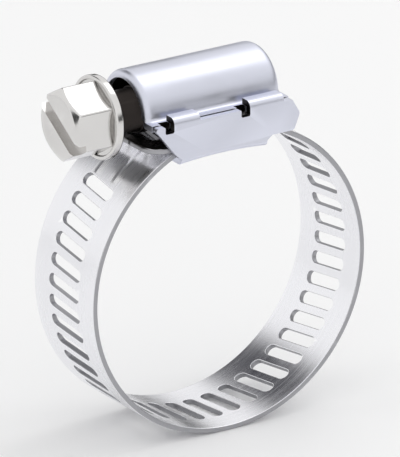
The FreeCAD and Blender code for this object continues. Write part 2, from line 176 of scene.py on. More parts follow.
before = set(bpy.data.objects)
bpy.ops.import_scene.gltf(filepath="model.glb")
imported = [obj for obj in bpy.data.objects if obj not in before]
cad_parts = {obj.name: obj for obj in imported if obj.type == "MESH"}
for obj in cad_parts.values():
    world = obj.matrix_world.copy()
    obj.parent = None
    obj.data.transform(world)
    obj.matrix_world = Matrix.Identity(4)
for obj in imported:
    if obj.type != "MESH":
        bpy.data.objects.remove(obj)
cad_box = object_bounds()


# ---------------------------------------------------------------- mesh helpers


def new_object(name, points, faces, normals=None):
    """A smooth-shaded mesh object from points in millimetres."""
    mesh = bpy.data.meshes.new(name)
    mesh.from_pydata([tuple(c * MM for c in p) for p in points], [], faces)
    mesh.validate()
    mesh.polygons.foreach_set("use_smooth", [True] * len(mesh.polygons))
    if normals is not None:
        mesh.normals_split_custom_set_from_vertices([tuple(n) for n in normals])
    mesh.update()
    obj = bpy.data.objects.new(name, mesh)
    bpy.context.scene.collection.objects.link(obj)
    return obj


def clean(obj, weld=0.002):
    """Weld doubles, drop empty faces and make the faces point outward."""
    work = bmesh.new()
    work.from_mesh(obj.data)
    bmesh.ops.remove_doubles(work, verts=work.verts, dist=weld * MM)
    empty = [f for f in work.faces if f.calc_area() < SMALLEST_FACE * MM * MM]
    bmesh.ops.delete(work, geom=empty, context="FACES_ONLY")
    bmesh.ops.delete(work, geom=[e for e in work.edges if not e.link_faces], context="EDGES")
    bmesh.ops.delete(work, geom=[v for v in work.verts if not v.link_faces], context="VERTS")
    bmesh.ops.recalc_face_normals(work, faces=work.faces)
    for face in work.faces:
        face.smooth = True
    work.to_mesh(obj.data)
    work.free()
    obj.data.update()
    return obj


def apply_modifiers(obj):
    """Replace the mesh by what its modifiers make of it."""
    graph = bpy.context.evaluated_depsgraph_get()
    mesh = bpy.data.meshes.new_from_object(obj.evaluated_get(graph))
    obj.modifiers.clear()
    obj.data = mesh
    return obj


def bevel(obj, width, limit=40, segments=3):
    modifier = obj.modifiers.new("Edges", "BEVEL")
    modifier.width = width * MM
    modifier.segments = segments
    modifier.limit_method = "ANGLE"
    modifier.angle_limit = math.radians(limit)
    modifier.harden_normals = True


def sheet_metal(name, points, normals, faces, thickness):
    """A closed sheet: the outer skin, the same skin moved inward along its normals, and the cut edges."""
    index, places, facing = {}, [], []
    renumber = []
    for point, normal in zip(points, normals):
        key = tuple(round(c, 3) for c in point)
        if key not in index:
            index[key] = len(places)
            places.append(np.array(point, float))
            facing.append(np.zeros(3))
        facing[index[key]] = facing[index[key]] + np.array(normal, float)
        renumber.append(index[key])
    facing = [n / np.linalg.norm(n) for n in facing]
    skin = []
    for face in faces:
        corners = list(dict.fromkeys(renumber[i] for i in face))
        if len(corners) < 3:
            continue
        around = np.array([places[i] for i in corners])
        cross = sum(np.cross(a - around[0], b - around[0]) for a, b in zip(around[1:], around[2:]))
        if np.linalg.norm(cross) < SMALLEST_FACE:
            continue
        wanted = sum(facing[i] for i in corners)
        skin.append(corners if cross @ wanted > 0 else corners[::-1])
    count = len(places)
    places += [p - n * thickness for p, n in zip(places, facing)]
    edges = {(f[i - 1], f[i]) for f in skin for i in range(len(f))}
    sides = [[b, a, a + count, b + count] for a, b in edges if (b, a) not in edges]
    inner = [[i + count for i in reversed(f)] for f in skin]
    sheet = new_object(name, places, skin + inner + sorted(sides))
    for i, face in enumerate(sheet.data.polygons):
        x, y, z = face.center / MM
        in_notch = any(start - NOTCH_WIDTH - EDGE_MARGIN < x < start + EDGE_MARGIN for start, _ in TABS)
        by_tab = abs(y) > TAB_INNER_Y - EDGE_MARGIN and z > SCREW_Z - NOTCH_REACH
        cut_edge = i >= len(skin) + len(inner)
        on_inside = i >= len(skin) and not cut_edge
        # painted shade: the inner skin and the cut edges in the tab notches take the near-black second
        # material
        if on_inside or (cut_edge and in_notch and by_tab):
            face.material_index = INSIDE
    return sheet


def spread(start, end, count):
    """count + 1 evenly spaced numbers from start to end."""
    return [start + (end - start) * i / count for i in range(count + 1)]


# ---------------------------------------------------------------- band


class StripPath:
    """Middle line of the band in the XZ plane, as straight runs and arcs measured by distance along it."""

    def __init__(self, x, z, heading):
        self.runs = []
        self.end = (0.0, x, z, heading)

    def add(self, length, radius):
        self.runs.append((*self.end, radius))
        start = self.end[0]
        self.end = (start + length, *self.at(start + length))

    def line(self, length):
        self.add(length, None)

    def turn(self, angle, radius):
        self.add(angle * radius, radius)

    def at(self, s):
        """x, z and heading at a distance along the path."""
        run = next((r for r in reversed(self.runs) if r[0] <= s), self.runs[0])
        start, x, z, heading, radius = run
        ahead = s - start
        if radius is None:
            return x + ahead * math.cos(heading), z + ahead * math.sin(heading), heading
        now = heading + ahead / radius
        centre_x = x - radius * math.sin(heading)
        centre_z = z + radius * math.cos(heading)
        return centre_x + radius * math.sin(now), centre_z - radius * math.cos(now), now


def make_path():
    """From the fixed end over the saddle, round the ring, up the ramp and forward under the screw."""
    bend_z = FIXED_LAYER - STRIP_BEND
    bend_x = -math.sqrt((RING_RADIUS - STRIP_BEND) ** 2 - bend_z**2)
    ring_start = math.atan2(bend_z, bend_x)
    path = StripPath(FIXED_END_X, FIXED_LAYER, math.pi)
    path.line(FIXED_END_X - bend_x)
    path.turn(ring_start - math.pi / 2, STRIP_BEND)
    start_of_ring = path.end[0]
    path.turn(RAMP_ANGLE + 2 * math.pi - ring_start, RING_RADIUS)
    rise = FREE_LAYER - RING_RADIUS * math.sin(RAMP_ANGLE)
    last_turn = math.pi / 2 - RAMP_ANGLE
    tangent = STRIP_BEND * math.tan(last_turn / 2)
    path.line(rise / math.cos(RAMP_ANGLE) - tangent)
    path.turn(last_turn, STRIP_BEND)
    path.line(path.end[1] - FREE_END_X)
    pitch_angle = SLOT_PITCH / RING_RADIUS
    first_joint = SLOT_PHASE - (PHASE_SLOT + 0.5) * pitch_angle
    return path, start_of_ring + (first_joint - ring_start) * RING_RADIUS


PATH, FIRST_CELL = make_path()
STRIP_END = PATH.end[0]
SLOT_REACH = (SLOT_LENGTH - SLOT_WIDTH) / 2
BLOCK_Y = 4.0
OUTER_ROW = 5.1
RIM_Y = BAND_WIDTH / 2 - RIM_EDGE
SIDE_ROWS = [SLOT_REACH, 2.9, 3.4, BLOCK_Y]
SIDE_ANGLES = [0, 17, 33, 50]
CELL_COLUMNS = 8
STRAIGHT_ROWS = spread(-SLOT_REACH, SLOT_REACH, 8)


def boundary(index):
    """Distance along the strip of the middle of the metal before this slot."""
    return FIRST_CELL + SLOT_PITCH * index


def rim(s):
    """Half width of the flat sheet at s, and the direction that the strip's edge faces there."""
    for end, corner, way in ((STRIP_END, TIP_CORNER, 1), (0.0, FIXED_CORNER, -1)):
        past = way * (s - end) + corner
        if past > 0:
            turn = math.asin(min(1.0, past / (corner - RIM_EDGE)))
            half = BAND_WIDTH / 2 - corner + (corner - RIM_EDGE) * math.cos(turn)
            return half, way * math.sin(turn), math.cos(turn)
    return RIM_Y, 0.0, 1.0


def across(s, y):
    """y pulled in near the strip's rounded ends."""
    if abs(y) <= BLOCK_Y:
        return y
    share = (abs(y) - BLOCK_Y) / (RIM_Y - BLOCK_Y)
    return math.copysign(BLOCK_Y + share * (rim(s)[0] - BLOCK_Y), y)


def edge_profile(radius, steps=4):
    """Rounded edges of a cut: distance into the metal, height, and the normal outward and upward."""
    top = []
    for i in range(steps + 1):
        a = math.pi / 2 * i / steps
        inward = radius * (1 - math.sin(a))
        top.append((inward, BAND_THICKNESS / 2 - radius * (1 - math.cos(a)), math.sin(a), math.cos(a)))
    return top + [(d, -h, out, -up) for d, h, out, up in reversed(top)]


class Skin:
    """Faces of the band in (along, across, height), welded where they meet."""

    def __init__(self):
        self.index = {}
        self.points = []
        self.normals = []
        self.places = []
        self.faces = []

    def vertex(self, s, y, h, normal):
        key = (round(s, 4), round(y, 4), round(h, 4))
        if key not in self.index:
            x, z, heading = PATH.at(s)
            along = np.array((math.cos(heading), 0, math.sin(heading)))
            up = np.array((math.sin(heading), 0, -math.cos(heading)))
            self.index[key] = len(self.points)
            self.points.append(np.array((x, y, z)) + up * h)
            self.normals.append(along * normal[0] + np.array((0, normal[1], 0)) + up * normal[2])
            self.places.append((s, y))
        return self.index[key]

    def face(self, corners):
        corners = list(dict.fromkeys(corners))
        if len(corners) < 3:
            return
        a, b, c = (self.points[i] for i in (corners[0], corners[1], corners[-1]))
        facing = np.cross(b - a, c - a)
        wanted = sum(self.normals[i] for i in corners)
        self.faces.append(corners if facing @ wanted > 0 else corners[::-1])

    def grid(self, rows):
        """Faces between rows of vertex numbers."""
        for near, far in zip(rows, rows[1:]):
            for i in range(len(near) - 1):
                self.face([near[i], near[i + 1], far[i + 1], far[i]])

    def sheets(self, rows):
        """The upper and lower face of a flat part, from rows of (s, y)."""
        for side in (1, -1):
            height = side * BAND_THICKNESS / 2
            self.grid([[self.vertex(s, y, height, (0, 0, side)) for s, y in row] for row in rows])

    def edge(self, line, radius, outward_from_line):
        """A cut edge along a line of (s, y, normal s, normal y)."""
        rows = []
        for inward, height, out, up in edge_profile(radius):
            shift = radius - inward if outward_from_line else -inward
            row = []
            for s, y, ns, ny in line:
                row.append(self.vertex(s + ns * shift, y + ny * shift, height, (ns * out, ny * out, up)))
            rows.append(row)
        self.grid(rows)


def add_side_edges(skin, columns):
    for side in (1, -1):
        line = []
        for s in columns:
            half, ns, ny = rim(s)
            line.append((s, side * half, ns, side * ny))
        skin.edge(line, RIM_EDGE, True)


def slot_outline():
    """Round the slot from its near corner: (width offset, length offset, normal) for each sample."""
    samples = [((SLOT_WIDTH / 2, y), (1.0, 0.0)) for y in STRAIGHT_ROWS]
    step = (180 - 2 * SIDE_ANGLES[-1]) / CELL_COLUMNS
    angles = SIDE_ANGLES[1:]
    angles = angles + [SIDE_ANGLES[-1] + step * i for i in range(1, CELL_COLUMNS)]
    angles = angles + [180 - a for a in reversed(SIDE_ANGLES)]
    half = list(samples)
    for angle in angles:
        a = math.radians(angle)
        normal = (math.cos(a), math.sin(a))
        half.append(((SLOT_WIDTH / 2 * normal[0], SLOT_REACH + SLOT_WIDTH / 2 * normal[1]), normal))
    half = half[:-1]
    return half + [((-p[0], -p[1]), (-n[0], -n[1])) for p, n in half]


def block_outline(low, high):
    """The same samples on the rectangle round the slot, in the same order."""
    middle = (low + high) / 2
    half = [(high, y) for y in STRAIGHT_ROWS + SIDE_ROWS[1:]]
    columns = spread(high, low, CELL_COLUMNS)
    half += [(s, BLOCK_Y) for s in columns[1:]]
    half += [(low, y) for y in reversed(SIDE_ROWS[1:-1])]
    other = []
    for s, y in half:
        mirrored = low if s == high else high if s == low else 2 * middle - s
        other.append((mirrored, -y))
    columns_up = spread(low, high, CELL_COLUMNS)
    other = [(min(columns_up, key=lambda c, s=s: abs(c - s)), y) for s, y in other]
    return half + other


def add_slot_cell(skin, number):
    """One slot and the metal round it, out to the middle of the metal on each side."""
    low, high = boundary(number), boundary(number + 1)
    columns = spread(low, high, CELL_COLUMNS)
    for side in (1, -1):
        rows = [[(s, across(s, side * y)) for s in columns] for y in (BLOCK_Y, OUTER_ROW, RIM_Y)]
        skin.sheets(rows)
    add_side_edges(skin, columns)

    middle = (low + high) / 2
    cos, sin = math.cos(SLOT_SLANT), math.sin(SLOT_SLANT)
    line = []
    for (a, b), (na, nb) in slot_outline():
        place = (middle + a * cos - b * sin, a * sin + b * cos)
        line.append((*place, na * cos - nb * sin, na * sin + nb * cos))
    line.append(line[0])
    block = block_outline(low, high)
    block.append(block[0])
    rings = []
    for share in (0, 0.35, 0.7):
        ring = []
        for (s, y, ns, ny), (bs, by) in zip(line, block):
            inner_s, inner_y = s + ns * SLOT_EDGE, y + ny * SLOT_EDGE
            ring.append((inner_s + (bs - inner_s) * share, inner_y + (by - inner_y) * share))
        rings.append(ring)
    rings.append(block)
    skin.sheets(rings)
    skin.edge([(s, y, -ns, -ny) for s, y, ns, ny in line], SLOT_EDGE, False)


def add_plain_end(skin, columns, end):
    """A length with no slots, and the cut edge across its end."""
    lines = sorted({side * y for side in (1, -1) for y in STRAIGHT_ROWS + SIDE_ROWS + [OUTER_ROW, RIM_Y]})
    rows = [[(s, across(s, y)) for s in columns] for y in lines]
    skin.sheets(rows)
    add_side_edges(skin, columns)
    way = 1.0 if end > columns[0] else -1.0
    last = max(columns, key=lambda s: s * way)
    skin.edge([(last, across(last, y), way, 0.0) for y in lines], RIM_EDGE, True)


def corner_columns(end, corner, way):
    """Columns through a rounded corner, close together where it turns most."""
    inset = corner - RIM_EDGE
    return [end - way * corner + way * inset * math.sin(math.pi / 2 * i / 10) for i in range(11)]


def make_band_skin():
    skin = Skin()
    start_corner = sorted(corner_columns(0.0, FIXED_CORNER, -1))
    straight = spread(FIXED_CORNER, FIRST_CELL, 36)
    plain = spread(FIRST_CELL, boundary(SLOTS_LEFT_OUT), CELL_COLUMNS * SLOTS_LEFT_OUT)
    add_plain_end(skin, start_corner[:-1] + straight + plain[1:], 0.0)
    for number in range(SLOTS_LEFT_OUT, SLOT_COUNT):
        add_slot_cell(skin, number)
    last = boundary(SLOT_COUNT)
    tip = [s for s in corner_columns(STRIP_END, TIP_CORNER, 1) if s > last + 0.02]
    add_plain_end(skin, [last] + tip, STRIP_END)
    return skin


def strip_normal(s):
    """The direction square to the strip's broad faces at this distance along it."""
    x_before, z_before, _ = PATH.at(s - NORMAL_STEP)
    x_after, z_after, _ = PATH.at(s + NORMAL_STEP)
    return Vector((z_before - z_after, 0, x_after - x_before)).normalized()


def span_object(skin, name, low, high):
    """The part of the band between two distances along it, with its own points and normals."""
    faces = []
    for face in skin.faces:
        middle = sum(skin.places[i][0] for i in face) / len(face)
        if low < middle <= high:
            faces.append(face)
    used = sorted({i for face in faces for i in face})
    renumber = {old: new for new, old in enumerate(used)}
    obj = new_object(
        name,
        [skin.points[i] for i in used],
        [[renumber[i] for i in face] for face in faces],
        [skin.normals[i] for i in used],
    )
    layer = obj.data.uv_layers.new(name="Strip")
    places = np.array([skin.places[i] for i in used], np.float32) * 0.1
    loops = np.zeros(len(obj.data.loops), np.int32)
    obj.data.loops.foreach_get("vertex_index", loops)
    layer.data.foreach_set("uv", places[loops].ravel())
    facing = {}
    for face in obj.data.polygons:
        middle = round(sum(skin.places[used[i]][0] for i in face.vertices) / len(face.vertices), 1)
        if middle not in facing:
            facing[middle] = strip_normal(middle)
        # cut edges take the second material: a sheared finish whose darker tone is partly painted shade
        if abs(face.normal.dot(facing[middle])) < EDGE_FACING:
            face.material_index = SHEARED_AND_SHADED
    return obj


def joint_points(joint):
    """Points just before and after a joint, on the strip's middle line."""
    points = []
    for side in (-JOINT_REACH, JOINT_REACH):
        x, z, _ = PATH.at(boundary(joint * SLOTS_PER_LINK) + side)
        points.append((x * MM, 0, z * MM))
    return points


def make_band():
    skin = make_band_skin()
    chain = ["housing"] + [f"link_{i:02d}" for i in range(1, LINK_COUNT + 1)] + ["free_end"]
    nodes = {"housing": "band_fixed_end", "free_end": "band_free_end"}
    nodes.update({f"link_{i:02d}": f"band_link_{i:02d}" for i in range(1, LINK_COUNT + 1)})
    spans = []
    for joint in range(LINK_COUNT + 1):
        low = boundary(SLOTS_PER_LINK * joint - 2) if joint else -math.inf
        high = boundary(SLOTS_PER_LINK * joint + 1) if joint < LINK_COUNT else math.inf
        if joint == MEETING_JOINT:
            cut = boundary(SLOTS_PER_LINK * joint)
            spans += [(joint, low, cut, "a", [chain[joint]]), (joint, cut, high, "b", [chain[joint + 1]])]
        else:
            spans.append((joint, low, high, "", chain[joint : joint + 2]))
    pieces = []
    for joint, low, high, mark, bodies in spans:
        piece = span_object(skin, f"band_strip_{joint:02d}{mark}", low, high)
        if len(bodies) == 2:
            start, end = joint_points(joint)
            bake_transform(piece)
        else:
            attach(piece, bodies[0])
        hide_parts(*[nodes[body] for body in bodies])
        pieces.append(piece)
    return pieces


# ---------------------------------------------------------------- housing cover


def cover_stations():
    """(x, radius, normal x, normal radius) of the cover's outer skin, from the front hole to the rear."""
    front_shoulder = COVER_RADIUS - COVER_FRONT_ROUNDING
    rear_shoulder = COVER_RADIUS - COVER_REAR_ROUNDING
    stations = [(COVER_FRONT, FRONT_HOLE, -1, 0)]
    for i in range(9):
        a = math.pi / 2 * i / 8
        x = COVER_FRONT + COVER_FRONT_ROUNDING * (1 - math.cos(a))
        stations.append((x, front_shoulder + COVER_FRONT_ROUNDING * math.sin(a), -math.cos(a), math.sin(a)))
    stops = [COVER_FRONT + COVER_FRONT_ROUNDING]
    for start, _ in TABS:
        stops += [start - NOTCH_WIDTH, start]
    stops = sorted(stops + [COVER_REAR - COVER_REAR_ROUNDING])
    for low, high in zip(stops, stops[1:]):
        steps = max(1, round((high - low) / COVER_STEP))
        stations += [(x, COVER_RADIUS, 0, 1) for x in spread(low, high, steps)[1:]]
    for i in range(1, 9):
        a = math.pi / 2 * i / 8
        x = COVER_REAR - COVER_REAR_ROUNDING * (1 - math.sin(a))
        stations.append((x, rear_shoulder + COVER_REAR_ROUNDING * math.cos(a), math.sin(a), math.cos(a)))
    stations.append((COVER_REAR, REAR_HOLE, 1, 0))
    return stations


def cover_section(radius, normal_x, normal_r):
    """Across the cover: flange, crease, dome, crease, flange. Each is (y, z, normal, on the flange)."""
    crease_y = math.sqrt(radius**2 + 2 * radius * COVER_CREASE)
    rise = math.atan2(COVER_CREASE, crease_y)
    up = np.array((0.0, 0.0, 1.0))

    def dome_normal(angle):
        return np.array((normal_x, normal_r * math.cos(angle), normal_r * math.sin(angle)))

    flange = (FLANGE_EDGE, (FLANGE_EDGE + TAB_INNER_Y) / 2, TAB_INNER_Y, crease_y)
    half = [(y, 0.0, up, True) for y in flange]
    for i in range(1, 5):
        share = i / 4
        a = (math.pi / 2 - rise) * share
        y = crease_y - COVER_CREASE * math.sin(a)
        normal = up * math.cos(a) + dome_normal(rise) * math.sin(a)
        half.append((y, COVER_CREASE * (1 - math.cos(a)), normal, False))
    half[-1] = (radius * math.cos(rise), radius * math.sin(rise), dome_normal(rise), False)
    dome = []
    for i in range(1, DOME_STEPS):
        a = rise + (math.pi - 2 * rise) * i / DOME_STEPS
        dome.append((radius * math.cos(a), radius * math.sin(a), dome_normal(a), False))
    return half + dome + [(-y, z, n * np.array((1, -1, 1)), f) for y, z, n, f in reversed(half)]


def make_cover():
    stations = cover_stations()
    points, normals, faces, sections = [], [], [], []
    for x, radius, normal_x, normal_r in stations:
        section = cover_section(radius, normal_x, normal_r)
        sections.append(section)
        points += [(x, y, SCREW_Z + z) for y, z, _, _ in section]
        normals += [n for _, _, n, _ in section]
    count = len(sections[0])
    for i in range(len(stations) - 1):
        x_middle = (stations[i][0] + stations[i + 1][0]) / 2
        in_notch = any(start - NOTCH_WIDTH < x_middle < start for start, _ in TABS)
        for j in range(count - 1):
            here, beside = sections[i][j], sections[i][j + 1]
            beyond_tab = abs(here[0] + beside[0]) / 2 > TAB_INNER_Y
            if in_notch and here[3] and beside[3] and beyond_tab:
                continue
            a = i * count + j
            faces.append([a, a + 1, a + 1 + count, a + count])
    cover = sheet_metal("cover", points, normals, faces, SHEET - SHEET_SHY)
    bevel(cover, COVER_EDGE)
    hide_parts("housing_cover")
    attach(cover, "housing")
    return cover


# ---------------------------------------------------------------- saddle


def round_corners(corners):
    """An outline through (x, z, radius) corners, with each corner that has a radius rounded."""
    points = []
    count = len(corners)
    for i, (x, z, radius) in enumerate(corners):
        here = Vector((x, z))
        if radius == 0:
            points.append((x, z))
            continue
        before = (Vector(corners[i - 1][:2]) - here).normalized()
        after = (Vector(corners[(i + 1) % count][:2]) - here).normalized()
        opening = before.angle(after)
        reach = radius / math.tan(opening / 2)
        centre = here + (before + after).normalized() * radius / math.sin(opening / 2)
        start = here + before * reach - centre
        turn = start.angle_signed(here + after * reach - centre)
        steps = max(2, round(abs(math.degrees(turn)) / 12))
        for k in range(steps + 1):
            a = turn * k / steps
            c, s = math.cos(-a), math.sin(-a)
            points.append((centre.x + start.x * c - start.y * s, centre.y + start.x * s + start.y * c))
    return points


def base_height(x):
    """Height of the base's outer face above its ends: it is arched along the screw."""
    middle = (BASE_FRONT + BASE_REAR) / 2
    half = (BASE_REAR - BASE_FRONT) / 2
    return BASE_ARCH * (1 - ((x - middle) / half) ** 2)


def make_saddle():
    base_x = spread(BASE_FRONT, BASE_REAR, 14)
    bottom = BASE_Z + BEND
    outline = [(x, bottom + base_height(x), 0) for x in base_x]
    outline += WALL_REAR
    tab_x = []
    for start, end in reversed(TABS):
        columns = spread(end, start, 6)
        tab_x.append(columns)
        outline += [(x, SCREW_Z, 0) for x in columns]
        outline += [
            (start, SCREW_Z - NOTCH_DEPTH, 0.2),
            (start - NOTCH_WIDTH, SCREW_Z - NOTCH_DEPTH, 0.2),
            (start - NOTCH_WIDTH, SCREW_Z, 0.15),
        ]
    outline += WALL_FRONT
    wall = round_corners(outline)

    points, normals, faces = [], [], []

    def add_grid(rows):
        start = len(points)
        width = len(rows[0])
        for row in rows:
            points.extend(place for place, _ in row)
            normals.extend(normal for _, normal in row)
        for i in range(len(rows) - 1):
            for j in range(width - 1):
                a = start + i * width + j
                faces.append([a, a + 1, a + 1 + width, a + width])

    turns = [math.pi / 2 * i / 7 for i in range(8)]
    flat_y = WALL_Y - BEND
    for side in (1, -1):
        start = len(points)
        points.extend((x, side * WALL_Y, z) for x, z in wall)
        normals.extend((0, side, 0) for _ in wall)
        faces.append(list(range(start, start + len(wall))))
        for columns in tab_x:
            rows = []
            for x in columns:
                row = []
                for a in turns:
                    place = (x, side * (flat_y + BEND * math.cos(a)), SCREW_Z + BEND * math.sin(a))
                    row.append((place, (0, side * math.cos(a), math.sin(a))))
                for y in spread(flat_y, TAB_INNER_Y, 3)[1:]:
                    row.append(((x, side * y, SCREW_Z + BEND), (0, 0, 1)))
                rows.append(row)
            add_grid(rows)
    rows = []
    for x in base_x:
        z = BASE_Z + base_height(x) + BEND
        row = []
        for side, angles in ((1, turns), (-1, turns[::-1])):
            for a in angles:
                place = (x, side * (flat_y + BEND * math.cos(a)), z - BEND * math.sin(a))
                row.append((place, (0, side * math.cos(a), -math.sin(a))))
            if side == 1:
                row += [((x, y, z - BEND), (0, 0, -1)) for y in spread(flat_y, -flat_y, 8)[1:-1]]
        rows.append(row)
    add_grid(rows)
    saddle = sheet_metal("saddle_sheet", points, normals, faces, SHEET - SHEET_SHY)
    bevel(saddle, SADDLE_EDGE)
    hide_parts("saddle")
    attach(saddle, "housing")
    return saddle


# ---------------------------------------------------------------- screw


def hexagon_radius(angle):
    """Distance from the axis to the side of the hexagon, with rounded corners. Two flats face +Y and -Y."""
    sector = math.pi / 3
    local = (angle + sector / 2) % sector - sector / 2
    inner = HEX_FLAT - HEX_CORNER
    corner = math.radians(30)
    flat_end = math.atan2(inner * math.tan(corner), HEX_FLAT)
    if abs(local) <= flat_end:
        return HEX_FLAT / math.cos(local)
    centre = inner / math.cos(corner)
    off = corner - abs(local)
    return centre * math.cos(off) + math.sqrt(HEX_CORNER**2 - (centre * math.sin(off)) ** 2)


def ring_rows(points, faces, rings, count):
    """Join rings of points that each have count points, each to the next."""
    start = len(points)
    for ring in rings:
        points.extend(ring)
    for i in range(len(rings) - 1):
        for j in range(count):
            a = start + i * count + j
            b = start + i * count + (j + 1) % count
            faces.append([a, b, b + count, a + count])


def make_head():
    """The hexagon with a turned chamfer round its front and a screwdriver slot across it."""
    count = HEAD_STEPS
    angles = [2 * math.pi * j / count for j in range(count)]
    face_radius = HEX_FLAT - HEX_CHAMFER * FACE_SHARE
    depths = [0, 0.06, 0.12, *spread(0.2, 1.0, 8), 1.15, 1.35, 1.7, 2.4, 3.4, 4.4, 5.5]
    rings = []
    for r in (HEAD_CENTRE, 1.2, 2.4, 3.1):
        rings.append([(HEAD_FRONT, r * math.cos(a), r * math.sin(a)) for a in angles])
    for depth in depths:
        cone = face_radius + depth * CHAMFER_SLOPE
        ring = []
        for a in angles:
            flat = hexagon_radius(a)
            blend = max(0.0, CHAMFER_SOFT - abs(flat - cone)) / CHAMFER_SOFT
            radius = min(flat, cone) - blend * blend * CHAMFER_SOFT / 4
            ring.append((HEAD_FRONT + depth, radius * math.cos(a), radius * math.sin(a)))
        rings.append(ring)
    back = HEAD_FRONT + depths[-1]
    rings.append([(back, HEAD_CENTRE * math.cos(a), HEAD_CENTRE * math.sin(a)) for a in angles])
    points, faces = [], []
    ring_rows(points, faces, rings, count)
    faces.append(list(range(count))[::-1])
    faces.append(list(range(len(points) - count, len(points))))
    head = new_object("head_part", [(x, y, z + SCREW_Z) for x, y, z in points], faces)
    clean(head, weld=0.0005)

    along = Vector((0, math.cos(DRIVER_ANGLE), math.sin(DRIVER_ANGLE)))
    over = Vector((0, -math.sin(DRIVER_ANGLE), math.cos(DRIVER_ANGLE)))
    box = []
    for x in (HEAD_FRONT - 1, HEAD_FRONT + DRIVER_DEPTH):
        for u, v in ((-1, -1), (1, -1), (1, 1), (-1, 1)):
            corner = Vector((x, 0, SCREW_Z)) + along * u * DRIVER_REACH + over * v * DRIVER_WIDTH / 2
            box.append(tuple(corner))
    sides = [[0, 1, 2, 3], [7, 6, 5, 4], [0, 4, 5, 1], [1, 5, 6, 2], [2, 6, 7, 3], [3, 7, 4, 0]]
    cutter = new_object("slot_cutter", box, sides)
    clean(cutter)
    cut = head.modifiers.new("Slot", "BOOLEAN")
    cut.operation = "DIFFERENCE"
    cut.solver = "EXACT"
    cut.object = cutter
    bevel(head, HEAD_EDGE, limit=50, segments=2)
    apply_modifiers(head)
    bpy.data.objects.remove(cutter)
    return head


def lathe(name, profile, count=96):
    """A body turned about the screw's axis from (x, radius) points, closed at both ends."""
    rings = []
    for x, radius in profile:
        angles = [2 * math.pi * j / count for j in range(count)]
        rings.append([(x, radius * math.cos(a), SCREW_Z + radius * math.sin(a)) for a in angles])
    points, faces = [], []
    ring_rows(points, faces, rings, count)
    faces.append(list(range(count))[::-1])
    faces.append(list(range(len(points) - count, len(points))))
    return clean(new_object(name, points, faces), weld=0.0005)


def rounded_profile(corners):
    """(x, radius) corners of a turned profile, with those that have a rounding rounded."""
    framed = [(corners[0][0], -9, 0), *corners, (corners[-1][0], -9, 0)]
    rounded = round_corners(framed)
    return [p for p in rounded if p[1] > -8]


def make_thread():
    """A right-hand worm that fades into the root at both ends, in step with the band's slots."""
    straight_slot = PATH.at(boundary(SLOT_COUNT - 1) + SLOT_PITCH / 2)[0]
    count = int(THREAD_TURNS * STEPS_PER_TURN)
    crest, foot = 0.3, 0.62
    rising = [(-foot, 0), (-crest - 0.06, 0.86), (-crest + 0.06, 1)]
    section = rising + [(-dx, share) for dx, share in reversed(rising)]
    points, faces = [], []
    fade_steps = STEPS_PER_TURN * THREAD_FADE
    start = straight_slot + SLOT_PITCH / 2
    for i in range(count + 1):
        turn = i / STEPS_PER_TURN
        angle = math.pi / 2 + 2 * math.pi * turn
        fade = min(1.0, i / fade_steps, (count - i) / fade_steps)
        height = (CREST_RADIUS - ROOT_RADIUS + THREAD_SUNK) * (fade * fade * (3 - 2 * fade))
        for dx, share in section:
            radius = ROOT_RADIUS - THREAD_SUNK + height * share
            x = start + turn * SLOT_PITCH + dx
            points.append((x, radius * math.cos(angle), SCREW_Z + radius * math.sin(angle)))
    width = len(section)
    for i in range(count):
        for j in range(width):
            a = i * width + j
            b = i * width + (j + 1) % width
            faces.append([a, b, b + width, a + width])
    faces.append(list(range(width))[::-1])
    faces.append(list(range(len(points) - width, len(points))))
    return clean(new_object("thread_part", points, faces), weld=0.0005)


def make_screw():
    shaft = lathe(
        "shaft_part",
        rounded_profile(
            [
                (COLLAR_FRONT - 0.2, 3.6, 0),
                (COLLAR_FRONT + COLLAR_DISH, 3.6, 0),
                (COLLAR_FRONT + COLLAR_DISH, COLLAR_RADIUS - COLLAR_RIM, 0.1),
                (COLLAR_FRONT, COLLAR_RADIUS - COLLAR_RIM, 0.1),
                (COLLAR_FRONT, COLLAR_RADIUS, 0.25),
                (COLLAR_REAR, COLLAR_RADIUS, 0.35),
                (COLLAR_REAR, NECK_RADIUS, 0.2),
                (NECK_END, NECK_RADIUS, 0),
                (NECK_END, ROOT_RADIUS, 0.1),
                (ROOT_END, ROOT_RADIUS, 0.3),
                (ROOT_END, PILOT_RADIUS, 0.15),
                (PILOT_END, PILOT_RADIUS, 0.3),
                (PILOT_END, 0.3, 0),
            ]
        ),
    )
    head = make_head()
    thread = make_thread()
    # painted shade: the shank behind the collar and the whole thread take near-black steel, for the shade
    # under the collar and inside the housing
    paint(head, screw_steel, painted_shade_steel)
    paint(shaft, screw_steel, painted_shade_steel)
    paint(thread, painted_shade_steel)
    for face in shaft.data.polygons:
        if face.center.x > (COLLAR_REAR - SHANK_MARGIN) * MM:
            face.material_index = INSIDE
    parts = [head, shaft, thread]
    chosen = {"active_object": head, "selected_editable_objects": parts, "selected_objects": parts}
    with bpy.context.temp_override(**chosen):
        bpy.ops.object.join()
    head.name = "worm_screw_body"
    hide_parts("worm_screw")
    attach(head, "screw")
    return head


# ---------------------------------------------------------------- materials


def new_material(name):
    material = bpy.data.materials.new(name)
    material.use_nodes = True
    nodes = material.node_tree.nodes
    shader = nodes["Principled BSDF"]
    return material, material.node_tree, shader


def add_node(tree, kind, **settings):
    node = tree.nodes.new(kind)
    for key, value in settings.items():
        if hasattr(node, key):
            setattr(node, key, value)
        else:
            node.inputs[key.replace("_", " ")].default_value = value
    return node


def ramp(tree, source, stops):
    node = tree.nodes.new("ShaderNodeValToRGB")
    elements = node.color_ramp.elements
    for i, (place, value) in enumerate(stops):
        element = elements[i] if i < 2 else elements.new(place)
        element.position = place
        colour = value if isinstance(value, tuple) else (value, value, value)
        element.color = (*colour, 1)
    tree.links.new(source, node.inputs[0])
    return node.outputs[0]


